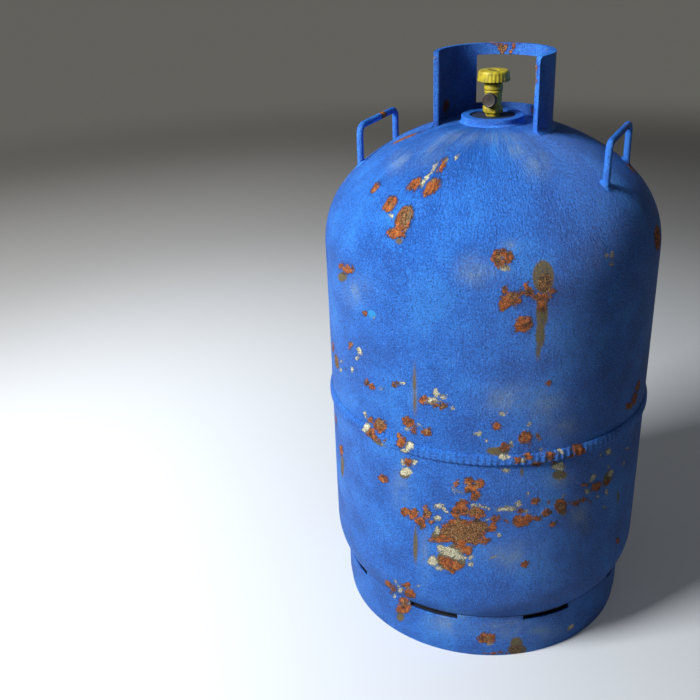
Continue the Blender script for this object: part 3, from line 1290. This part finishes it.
@dataclass
class Vessel:
    """Both shells with the weld between them, and the ring that they stand on."""

    outline: Outline
    workshop: Workshop
    finish: bpy.types.Material
    row_spacing: float = 2.0 * MM
    front_columns: int = 290
    back_columns: int = 84
    front_angles: tuple[float, float] = (-170.0, 26.0)
    neck_hole: float = 22.3 * MM
    pole_hole: float = 0.5 * MM
    joint_gap: float = 0.3 * MM
    joggle_height: float = 5.0 * MM
    outer_steps: int = 46
    inner_steps: int = 10
    lip: float = 14.0 * MM
    waviness: float = 0.22 * MM
    dip: float = 1.7 * MM
    dip_rim: float = 50.0 * MM
    dip_floor: float = 31.0 * MM
    bead_columns: int = 1320
    bead_waves: int = 165
    foot_wall: float = 4.0 * MM
    foot_tuck: float = 1.5 * MM
    foot_tuck_height: float = 14.0 * MM
    foot_rows: int = 18
    notch_count: int = 8
    notch_length: float = 51.0 * MM
    notch_depth: float = 7.0 * MM
    ripple: Ripple = field(default_factory=lambda: Ripple(3))

    def angles(self) -> Array:
        """Angles of the columns, close together on the side that the photograph shows."""
        start, end = (math.radians(angle) for angle in self.front_angles)
        front = np.linspace(start, end, self.front_columns, endpoint=False)
        back = np.linspace(end, start + 2 * math.pi, self.back_columns, endpoint=False)
        return np.concatenate([front, back])

    def shell(self, outside: Array, inside: Array) -> Surface:
        """Wall between two profiles, revolved, with its outside slightly uneven.

        Each outer corner moves along its own radius by two waves of smooth noise and is raised
        by about half a millimetre at most where the steel has rusted.
        """
        outer = resampled(outside, self.row_spacing)
        inner = resampled(inside, 14 * MM)
        surface = revolved(np.vstack([outer, inner[::-1]]), self.angles())
        corners = surface.corners
        count = len(outer) * len(self.angles())
        skin = corners[:count]
        waves = self.ripple.at(skin, 70 * MM) + 0.4 * self.ripple.at(skin, 28 * MM)
        rust = self.workshop.weathering.fields(skin)[Coat.RUST.value]
        rough = self.ripple.at(skin, 3.2 * MM)
        swell = np.clip((rust - 0.47) / 0.08, 0, 1) * (0.3 + 0.25 * rough) * MM
        reach = np.hypot(skin[:, 0], skin[:, 1])
        push = self.waviness * waves + swell
        side = skin * (1, 1, 0) / np.maximum(1e-6, reach)[:, None]
        lean = np.clip((self.outline.radius - reach) / (60 * MM), 0, 1)[:, None]
        upright = np.array([0, 0, 1.0]) * lean * np.sign(skin[:, 2:] - self.outline.seam)
        direction = side * (1 - lean) + upright
        corners[:count] = skin + direction * push[:, None]
        reach = np.hypot(corners[:, 0], corners[:, 1])
        share = np.clip((self.dip_rim - reach) / (self.dip_rim - self.dip_floor), 0, 1)
        above = corners[:, 2] > self.outline.seam
        corners[:, 2] -= self.dip * eased(share) * above
        return surface

    def build_shells(self) -> None:
        """The drawn upper half with its neck hole, and the lower half with its joggled lip."""
        wall, seam, radius = self.outline.wall, self.outline.seam, self.outline.radius
        upper, lower, gap = self.outline.upper, self.outline.lower, self.joint_gap
        outside = np.vstack([[[radius, seam]], upper.profile(0.0, self.neck_hole, self.outer_steps)])
        inside = np.vstack([[[radius - wall, seam]], upper.profile(wall, self.neck_hole, self.inner_steps)])
        self.workshop.piece("upper_shell_painted", self.shell(outside, inside), self.finish, ["upper_shell"])
        joggle, lip = seam - gap - self.joggle_height, seam + self.lip
        outside = np.vstack([
            lower.profile(0.0, self.pole_hole, self.outer_steps)[::-1],
            [[radius, joggle], [radius - wall - gap, seam - gap], [radius - wall - gap, lip]],
        ])
        inside = np.vstack([
            lower.profile(wall, self.pole_hole, self.inner_steps)[::-1],
            [[radius - wall, joggle], [radius - 2 * wall - gap, seam - gap], [radius - 2 * wall - gap, lip]],
        ])
        surface = self.shell(outside, inside)
        self.workshop.piece("lower_shell_painted", surface, self.finish, ["lower_shell"],
                            grime=self.crevice(surface.corners))

    def crevice(self, corners: Array) -> Array:
        """Grime behind the drain slots: full from the foot ring's top down to its inner corner."""
        height = corners[:, 2] / self.outline.foot_top
        reach = np.hypot(corners[:, 0], corners[:, 1]) / self.outline.foot_radius
        within = np.clip((height - 0.5) / 0.12, 0, 1) * np.clip((1.012 - height) / 0.01, 0, 1)
        return within * (reach < 1.0) * (reach > 0.8)

    def build_bead(self) -> None:
        """The seam's weld: a soft slope above, a sharp undercut below, and cross ripples.

        The radius is the profile's, times a ripple that runs round as a cosine of the angle,
        bent by the height so that the ripples lie as flat arcs, and uneven by smooth noise.
        """
        low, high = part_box("girth_weld")
        root, crest = self.outline.radius + 0.25 * MM, high.x
        rise = high.z - low.z
        profile = np.array([
            [root, low.z], [root + 0.7 * (crest - root), low.z + 0.01 * rise],
            [root + 0.96 * (crest - root), low.z + 0.09 * rise], [crest, low.z + 0.26 * rise],
            [root + 0.96 * (crest - root), low.z + 0.5 * rise],
            [root + 0.8 * (crest - root), low.z + 0.72 * rise],
            [root + 0.42 * (crest - root), low.z + 0.92 * rise], [root, high.z],
        ])
        profile = softened(profile, 1.5 * MM, 2)
        angles = round_turn(self.bead_columns)
        radius, height = profile[:, :1], profile[:, 1:]
        share = (radius - root) / (crest - root)
        level = (height - low.z) / rise
        phase = self.bead_waves * angles + 1.6 * (level - 0.4) ** 2
        uneven = self.ripple.at(polar(self.outline.radius, angles, 0.0), 9 * MM)
        ripple = (0.33 + 0.08 * uneven) * MM * (np.cos(phase) - 1.0)
        grid = polar(radius + share * ripple, angles, height)
        self.workshop.piece("girth_weld_bead", tube(grid), self.finish, ["girth_weld"], crease=60.0)

    def build_foot(self) -> None:
        """The foot ring: a band tucked in at its lip, with eight drain slots at its top edge."""
        radius, wall, lower = self.outline.foot_radius, self.foot_wall, self.outline.lower
        top_outer = float(lower.height(radius)) - self.joint_gap
        top_inner = float(lower.height(radius - wall)) - self.joint_gap
        floor = float(lower.height(radius)) - self.notch_depth
        half = self.notch_length / 2 / radius
        cuts = np.radians(np.arange(self.notch_count) * 360 / self.notch_count - 90)
        even = np.linspace(0, 2 * math.pi, 421)[:-1] - math.pi
        near = np.concatenate([cuts - half, cuts + half])
        near = (near + math.pi) % (2 * math.pi) - math.pi
        clear = np.abs((even[:, None] - near + math.pi) % (2 * math.pi) - math.pi).min(axis=1) > 0.006
        angles = np.sort(np.concatenate([even[clear], near]))
        levels = np.concatenate([np.linspace(0, floor, self.foot_rows), [0.35, 0.7, 1.0]])
        middle = (angles + np.diff(np.append(angles, angles[0] + 2 * math.pi)) / 2)[None, :]
        apart = np.abs((middle - cuts[:, None] + math.pi) % (2 * math.pi) - math.pi).min(axis=0)
        keep = np.ones((len(levels) - 1, len(angles)), bool)
        keep[self.foot_rows - 1 :, apart < half] = False

        def face(distance: float, top: float) -> Array:
            """One face of the band: lip tucked in by a smooth step, rows squeezed under the head."""
            upper = np.minimum(floor + (top - floor) * levels[self.foot_rows :], top)
            height = np.concatenate([levels[: self.foot_rows], upper])
            share = np.clip(height / self.foot_tuck_height, 0, 1)
            reach = distance - self.foot_tuck * (1 - eased(share))
            return polar(reach[:, None], angles, height[:, None])

        surface = walled(face(radius, top_outer), face(radius - wall, top_inner), keep, True)
        inner = np.hypot(surface.corners[:, 0], surface.corners[:, 1]) < radius - 0.6 * wall
        item = self.workshop.piece("foot_ring_band", surface, self.finish, ["foot_ring"],
                                   grime=self.crevice(surface.corners) * inner)
        bevelled(item, 1.0 * MM, 2)

    def build(self) -> None:
        """Builds every piece of the vessel."""
        self.build_shells()
        self.build_bead()
        self.build_foot()


@dataclass
class Guard:
    """The rolled strip round the valve, open at the front, with a window at the back."""

    outline: Outline
    workshop: Workshop
    finish: bpy.types.Material
    wall: float = 5.0 * MM
    opening: float = 127.4
    window: float = 74.2
    window_height: float = 45.0 * MM
    rail: float = 10.3 * MM
    corner: float = 4.5 * MM
    rim: float = 1.5 * MM
    spacing: float = 2.0 * MM

    def build(self) -> None:
        """Builds the strip: its upper corners fall away by a quarter circle at each jamb."""
        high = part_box("valve_guard")[1]
        radius, top = high.x, high.z
        head = self.outline.upper
        start, end = np.radians([-90 + self.opening / 2, 270 - self.opening / 2])
        side = self.corner / radius
        ease = side * (1 - np.cos(np.linspace(0, math.pi / 2, 6)))
        window = np.radians([90 - self.window / 2, 90 + self.window / 2])
        stops = [start + side, window[0], window[1], end - side]
        spans = [np.linspace(a, b, max(2, round((b - a) * radius / self.spacing)))[:-1]
                 for a, b in zip(stops[:-1], stops[1:])]
        angles = np.concatenate([start + ease[:-1], *spans, (end - ease)[::-1]])
        window_top = top - self.rail
        window_low = window_top - self.window_height

        def face(distance: float) -> Array:
            """One face of the strip, its foot on the dome."""
            foot = float(head.height(distance)) + 0.3 * MM
            levels = np.concatenate([
                np.linspace(foot, window_low, 5)[:-1], np.linspace(window_low, window_top, 23)[:-1],
                np.linspace(window_top, top, 7),
            ])
            from_end = np.minimum(angles - start, end - angles) * radius
            short = np.clip(self.corner - from_end, 0, self.corner)
            drop = self.corner - np.sqrt(np.maximum(0, self.corner**2 - short**2))
            share = np.clip((levels - window_top) / (top - window_top), 0, 1)[:, None]
            return polar(distance, angles, levels[:, None] - drop * share)

        outer, inner = face(radius), face(radius - self.wall)
        middle = (angles[:-1] + angles[1:]) / 2
        keep = np.ones((outer.shape[0] - 1, len(middle)), bool)
        keep[4:26, (middle > window[0]) & (middle < window[1])] = False
        surface = walled(outer, inner, keep, False)
        corners = surface.corners
        lined = np.hypot(corners[:, 0], corners[:, 1]) < radius - 0.5 * self.wall
        depth = np.clip((window_top - corners[:, 2]) / (window_top - window_low), 0, 1)
        shade = 0.41 + 0.1 * np.clip(-corners[:, 0] / radius, 0, 1) + 0.06 * depth
        item = self.workshop.piece("valve_guard_strip", surface, self.finish, ["valve_guard"],
                                   grime=shade * lined)
        bevelled(item, self.rim, 3)


@dataclass
class Handles:
    """Two bent rods, welded to the dome by both legs."""

    outline: Outline
    workshop: Workshop
    finish: bpy.types.Material
    rod_radius: float = 3.2 * MM
    bend: float = 9.0 * MM
    columns: int = 28
    weld_leg: float = 1.9 * MM

    def centre_line(self, x: float, low: Vector, high: Vector, foot: float) -> Array:
        """Points of the rod's middle: two legs and a bar, joined by quadratic bends."""
        rod = (high.x - low.x) / 2
        half = (high.y - low.y) / 2 - rod * 0.99
        top = high.z - rod
        t = np.linspace(0, 1, 13)[:, None]

        def curve(start: Array, corner: Array, end: Array) -> Array:
            """A quadratic bend from start to end towards the corner."""
            return (1 - t) ** 2 * start + 2 * t * (1 - t) * corner + t * t * end

        corner = np.array([half, top])
        bent = curve(np.array([half, top - self.bend]), corner, np.array([half - self.bend, top]))
        leg = np.linspace([half, foot], [half, top - self.bend], 12)[:-1]
        bar = np.linspace([half - self.bend, top], [self.bend - half, top], 22)[1:-1]
        other = bent[::-1] * (-1, 1)
        path = np.vstack([leg, bent, bar, other, leg[::-1] * (-1, 1)])
        return np.stack([np.full(len(path), x), path[:, 0], path[:, 1]], axis=1)

    def rod(self, path: Array, radius: float) -> Surface:
        """Round section carried along a path in a plane of constant x: the section's first axis
        is X and its second is square to the path."""
        tangent = np.gradient(path, axis=0)
        tangent /= np.linalg.norm(tangent, axis=1)[:, None]
        first = np.array([1.0, 0.0, 0.0])
        second = np.cross(tangent, first)
        angles = round_turn(self.columns)
        circle = np.cos(angles)[None, :, None] * first + np.sin(angles)[None, :, None] * second[:, None, :]
        return tube(path[:, None, :] + radius * circle, capped=True)

    def weld(self, x: float, y: float, rod: float) -> Surface:
        """Fillet round a leg: a ring whose outer edge lies on the dome, lumpy by smooth noise.

        Its section goes from high on the leg in a hollow curve out to the dome and back under.
        """
        angles = round_turn(40)
        lumps = 1 + 0.22 * Ripple(11).at(polar(1.0, angles, 20 * (x + y)), 0.5)
        inner, leg = rod + 0.15 * MM, self.weld_leg
        reaches = np.array([0, 0.25, 0.6, 1.2, 0.6, 0]) * leg
        lifts = np.array([1.1, 0.95, 0.42, 0.05, 0.02, 0.02]) * leg
        reach = inner + reaches[:, None] * lumps
        px, py = x + reach * np.cos(angles), y + reach * np.sin(angles)
        dome = self.outline.upper.height(np.hypot(px, py)) + 0.3 * MM
        return tube(np.stack([px, py, dome + lifts[:, None] * lumps], axis=-1))

    def build(self) -> None:
        """Builds both rods and their four welds."""
        head = self.outline.upper
        for side in ("left", "right"):
            low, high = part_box(f"handle_{side}")
            x, rod = (low.x + high.x) / 2, self.rod_radius
            half = (high.y - low.y) / 2 - rod
            foot = float(head.height(math.hypot(x, half))) + 0.5 * MM
            path = self.centre_line(x, low, high, foot)
            self.workshop.piece(f"handle_{side}_rod", self.rod(path, rod * 0.985), self.finish,
                                [f"handle_{side}"])
            for end, y in (("front", -half), ("back", half)):
                node = f"handle_weld_{side}_{end}"
                self.workshop.piece(f"{node}_bead", self.weld(x, y, rod), self.finish, [node])


@dataclass
class NeckBoss:
    """The ring in the top of the dome that holds the valve."""

    outline: Outline
    workshop: Workshop
    finish: bpy.types.Material
    recess: float = 20.9 * MM
    recess_depth: float = 1.5 * MM
    bore: float = 5.9 * MM
    spigot: float = 22.0 * MM

    def build(self) -> None:
        """Builds the boss by one turned profile with grime in its recess, and the fillet round it."""
        low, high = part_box("neck_ring")
        radius, top = high.x, high.z
        foot = float(self.outline.upper.height(radius)) - 1.3 * MM
        under = float(self.outline.upper.height(self.spigot)) - 1.3 * MM
        floor = top - self.recess_depth
        profile = np.array([
            [self.bore, low.z], [self.spigot, low.z], [self.spigot, under], [radius, foot], [radius, top],
            [self.recess, top], [self.recess, floor], [self.bore, floor],
        ])
        profile = softened(profile, 0.5 * MM, 3, closed=True)
        profile = resampled(np.vstack([profile, profile[:1]]), 1.4 * MM)[:-1]
        surface = revolved(profile, round_turn(128))
        reach = np.hypot(surface.corners[:, 0], surface.corners[:, 1])
        inside = np.clip((self.recess + 0.2 * MM - reach) / (0.8 * MM), 0, 1)
        self.workshop.piece("neck_ring_boss", surface, self.finish, ["neck_ring"], grime=inside)
        section = np.array([[0.05, 0.0], [1.7, 0.0], [0.6, 1.1], [0.05, 1.9]]) * MM
        fillet = section + (radius, foot - 0.4 * MM)
        self.workshop.piece("neck_weld_fillet", revolved(fillet, round_turn(128)), self.finish, ["neck_weld"])


def flute_wave(angles: Array, count: int) -> Array:
    """Depth share of grooves round a drum: 0 on the ribs and 1 in the grooves, with broad
    ribs and narrow round grooves."""
    wave = 0.5 - 0.5 * np.cos(count * angles)
    return wave**1.6


@dataclass
class Valve:
    """Body, gland nut, handwheel and the outlet's cap. TO_FRONT lays the axis Z along -Y."""

    TO_FRONT = ((1.0, 0.0, 0.0), (0.0, 0.0, -1.0), (0.0, 1.0, 0.0))

    workshop: Workshop
    yellow: bpy.types.Material
    dark: bpy.types.Material
    flutes: int = 26
    flute_depth: float = 0.42 * MM
    facets: int = 64
    body_facets: int = 96
    half_flats: float = 8.5 * MM
    half_corners: float = 9.75 * MM

    def fitting(self, name: str, surface: Surface, node: str, body: Bodies = Bodies.VESSEL,
                finish: bpy.types.Material | None = None, slot: str = "yellow_paint") -> None:
        """A piece of the valve, yellow unless told otherwise, without worn places."""
        self.workshop.piece(name, surface, finish or self.yellow, [node], body, slot, worn=False)

    def build_wheel(self) -> None:
        """The handwheel: a drum drawn in towards its top, grooved round its side, hollow below
        and with a recess for the screw. The grooves fade out over the top edge."""
        low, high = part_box("handwheel")
        base, top, radius = low.z, high.z, high.x
        upper = radius - 1.4 * MM
        outside = np.array([
            [radius - 0.5 * MM, base], [radius, base + 0.6 * MM], [upper + 0.5 * MM, top - 1.5 * MM],
            [upper - 0.6 * MM, top - 0.25 * MM], [upper - 2.0 * MM, top],
        ])
        outside = softened(outside, 0.7 * MM, 3)
        recess = np.array([
            [5.2 * MM, top], [4.6 * MM, top - 0.5 * MM], [4.1 * MM, top - 0.9 * MM],
            [4.1 * MM, top - 3.2 * MM], [2.8 * MM, top - 3.2 * MM], [2.8 * MM, base + 0.8 * MM],
        ])
        under = np.array([
            [5.4 * MM, base + 0.8 * MM], [5.4 * MM, base + 5.2 * MM], [10.8 * MM, base + 5.2 * MM],
            [11.4 * MM, base + 0.4 * MM], [11.8 * MM, base],
        ])
        profile = np.vstack([outside, recess, under])
        below_top = np.clip((top - 1.2 * MM - outside[:, 1]) / (1.6 * MM), 0, 1)
        at_side = np.clip((outside[:, 0] - 12 * MM) / MM, 0, 1)
        share = np.concatenate([below_top * at_side, np.zeros(len(recess) + len(under))])
        angles = round_turn(self.flutes * 14)
        reach = profile[:, :1] - share[:, None] * self.flute_depth * flute_wave(angles, self.flutes)
        surface = tube(polar(reach, angles, profile[:, 1:]))
        self.fitting("handwheel_fluted", surface, "handwheel", Bodies.WHEEL)

    def build_body(self) -> None:
        """The body: shank, foot, hexagon, barrel with its lip, and the outlet stub towards -Y.

        The hexagon is a turned block whose radius is the flats' distance over the cosine of the
        angle from the middle of each flat, eased at its corners.
        """
        low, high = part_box("valve_body")
        shank, top = low.z, high.z
        foot = shank + 20 * MM
        hexagon, barrel = foot + 3.2 * MM, foot + 8.8 * MM
        lip = barrel + 11.9 * MM
        lip_top = lip + 2.5 * MM
        angles = round_turn(self.body_facets)
        stack = np.array([
            [5.6, shank], [5.6, foot], [6.5, foot], [6.5, hexagon - 0.5 * MM], [7.7, hexagon],
        ]) * (MM, 1)
        upper = np.array([
            [7.7, barrel], [7.7, lip], [8.3, lip + 0.5 * MM], [8.3, lip_top - 0.5 * MM], [7.6, lip_top],
            [6.2, lip_top], [6.2, top], [4.4, top], [4.4, top - 4 * MM],
        ]) * (MM, 1)
        rows = softened(np.vstack([stack, upper]), 0.5 * MM, 3)
        surface = revolved(rows, angles, capped=True)
        sector = math.pi / 3
        from_flat = np.abs((angles + math.pi / 6 + math.pi / 2) % sector - sector / 2)
        flats = self.half_flats / np.cos(np.minimum(from_flat, math.radians(27.5)))
        levels = np.array([0.0, 0.05, 0.12, 0.88, 0.95, 1.0])
        shrink = np.array([0.93, 0.975, 1.0, 1.0, 0.975, 0.93])
        radius = np.minimum(flats[None, :], self.half_corners) * shrink[:, None]
        height = hexagon + (barrel - hexagon) * levels[:, None]
        block = tube(polar(radius, angles, height), capped=True)
        stub = np.array([[0.05, 4.0], [5.0, 4.0], [5.0, 11.2], [2.2, 11.2], [2.2, 6.0], [0.05, 6.0]]) * MM
        nozzle = revolved(softened(stub, 0.35 * MM, 2), round_turn(48), capped=True)
        low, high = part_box("outlet_cap")
        nozzle = nozzle.moved(self.TO_FRONT, (0, 0, (low.z + high.z) / 2))
        self.fitting("valve_body_cast", surface.joined(block).joined(nozzle), "valve_body")

    def build_nut(self) -> None:
        """The gland nut: a round cap with soft edges over the body's spigot."""
        low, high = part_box("gland_nut")
        foot, top = low.z, high.z
        middle = (foot + top) / 2
        profile = np.array([
            [6.5, foot], [8.2, foot], [8.6, foot + 0.6 * MM], [8.6, middle + 0.6 * MM],
            [8.0, middle + 1.1 * MM], [8.0, top - 0.5 * MM], [7.4, top], [2.7, top],
            [2.7, top - 1.7 * MM], [6.5, top - 1.7 * MM],
        ]) * (MM, 1.0)
        profile = softened(profile, 0.35 * MM, 3, closed=True)
        self.fitting("gland_nut_round", revolved(profile, round_turn(self.facets)), "gland_nut")

    def build_cap(self) -> None:
        """The cap over the outlet: a cup with a rounded rim and a slightly dished face."""
        low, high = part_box("outlet_cap")
        face, rim = -low.y / MM, -high.y / MM
        height = (low.z + high.z) / 2
        profile = np.array([
            [0.05, face - 0.35], [4.6, face - 0.3], [5.2, face], [5.9, face], [6.5, face - 0.6],
            [6.5, rim + 0.4], [6.2, rim], [5.3, rim], [5.3, face - 1.3], [0.05, face - 1.3],
        ]) * MM
        surface = revolved(softened(profile, 0.3 * MM, 3), round_turn(self.facets), capped=True)
        self.fitting("outlet_cap_cup", surface.moved(self.TO_FRONT, (0, 0, height)), "outlet_cap",
                     Bodies.CAP, self.dark, "cap_plastic")

    def build(self) -> None:
        """Builds every visible piece of the valve."""
        self.build_body()
        self.build_nut()
        self.build_wheel()
        self.build_cap()


# The studio


@dataclass(frozen=True)
class Studio:
    """A pale floor that fades to grey far out, and soft lights."""

    reach: float = 9.0
    near: tuple = srgb(236, 242, 248)
    middle: tuple = srgb(190, 190, 190)
    outer: tuple = srgb(130, 127, 120)
    shade_glow: tuple = srgb(60, 61, 62)
    far: tuple = srgb(96, 95, 90)
    bounce: float = 0.5
    key_power: float = 119.0
    fill_power: float = 0.5
    top_power: float = 3.5
    air: float = 0.06

    def floor(self) -> None:
        """A round floor whose colour depends on the distance from the object."""
        angles = round_turn(96)
        rim = polar(self.reach, angles, 0.0)
        mesh = bpy.data.meshes.new("floor")
        mesh.from_pydata(rim.tolist(), [], [list(range(len(rim)))])
        material, wiring, shader = new_material("studio floor")
        place = wiring.add("TexCoord").outputs["Object"]
        away = wiring.vector("LENGTH", place).outputs["Value"]
        color = wiring.mix(wiring.step(away, 0.45, 1.35), self.near, self.middle)
        color = wiring.mix(wiring.step(away, 0.9, 2.6), color, self.outer)
        parts = wiring.add("SeparateXYZ", None, Vector=place).outputs
        across = wiring.math("MULTIPLY_ADD", parts["Y"], 0.3, parts["X"])
        shade = wiring.step(across, -0.85, 0.5, 1.0, 0.56)
        gone = wiring.step(away, 1.9, 2.9)
        seen = wiring.add("LightPath").outputs["Is Camera Ray"]
        lit = wiring.math("MULTIPLY", shade, wiring.math("SUBTRACT", 1.0, gone))
        held = wiring.math("MULTIPLY", lit, wiring.step(seen, 0.0, 1.0, self.bounce, 1.0))
        wiring.feed(shader.inputs["Base Color"], wiring.mix(held, (0.0, 0.0, 0.0, 1.0), color))
        glow = wiring.mix(wiring.step(away, 0.7, 1.5), self.shade_glow, (0.0, 0.0, 0.0, 1.0))
        wiring.feed(shader.inputs["Emission Color"], wiring.mix(gone, glow, self.far))
        set_shader(shader, Roughness=0.7, Specular_IOR_Level=0.2, Emission_Strength=1.0)
        mesh.materials.append(material)
        item = bpy.data.objects.new("floor", mesh)
        bpy.context.scene.collection.objects.link(item)

    def lamp(self, name: str, azimuth: float, height: float, distance: float, size: float,
             power: float) -> None:
        """A square soft light that points at the middle of the object, angles in degrees."""
        data = bpy.data.lights.new(name, "AREA")
        data.energy = power
        data.size = size
        angle, lift = math.radians(azimuth), math.radians(height)
        place = Vector((math.cos(angle) * math.cos(lift), math.sin(angle) * math.cos(lift), math.sin(lift)))
        item = bpy.data.objects.new(name, data)
        item.location = place * distance + Vector((0, 0, 0.3))
        item.rotation_euler = place.to_track_quat("Z", "Y").to_euler()
        bpy.context.scene.collection.objects.link(item)

    def sky(self) -> None:
        """Even light from all round, and the floor's far grey where the camera looks past it."""
        world = bpy.data.worlds.new("studio air")
        bpy.context.scene.world = world
        world.use_nodes = True
        world.node_tree.nodes.clear()
        wiring = Wiring(world.node_tree)
        seen = wiring.add("Background", None, Color=self.far, Strength=1.0)
        lit = wiring.add("Background", None, Color=srgb(226, 232, 240), Strength=self.air)
        rays = wiring.add("LightPath")
        switch = wiring.add("MixShader")
        wiring.feed(switch.inputs[0], rays.outputs["Is Camera Ray"])
        wiring.feed(switch.inputs[1], lit.outputs[0])
        wiring.feed(switch.inputs[2], seen.outputs[0])
        output = wiring.add("OutputWorld")
        wiring.feed(output.inputs["Surface"], switch.outputs[0])

    def build(self) -> None:
        """Sets up the floor, the lights and the colour management."""
        bpy.context.scene.view_settings.view_transform = "Standard"
        self.floor()
        self.sky()
        self.lamp("key", -128.0, 37.0, 2.6, 0.8, self.key_power)
        self.lamp("fill", -20.0, 20.0, 2.6, 1.4, self.fill_power)
        self.lamp("top", -80.0, 78.0, 2.4, 1.6, self.top_power)


def main() -> None:
    """Builds the camera, the studio and every piece."""
    logging.basicConfig(level=logging.INFO, format="%(name)s: %(message)s")
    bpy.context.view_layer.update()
    camera = PhotoCamera()
    camera.make()
    Studio().build()
    outline = Outline.measured()
    weathering = Weathering(outline, camera)
    workshop = Workshop(weathering)
    body_paint = Enamel("body enamel", wrap_radius=outline.radius).material()
    small_paint = Enamel("fittings enamel", grain_size=1.3, relief=0.9 * MM).material()
    yellow, dark = YELLOW_COAT.material(), CAP_PLASTIC.material()
    Vessel(outline, workshop, body_paint).build()
    Guard(outline, workshop, small_paint).build()
    Handles(outline, workshop, small_paint).build()
    NeckBoss(outline, workshop, small_paint).build()
    Valve(workshop, yellow, dark).build()
    dress(("guard_weld",), small_paint)
    for finish, nodes in (
        (GRIMY_WELD, ("foot_weld",)), (BRASS, ("valve_spindle", "valve_plug")),
        (STEEL, ("wheel_screw", "screw_washer")), (RUBBER, ("spindle_seal", "outlet_washer")),
        (NYLON, ("thrust_washer", "seat_pad")),
    ):
        dress(nodes, finish.material())


if __name__ == "__main__":
    main()
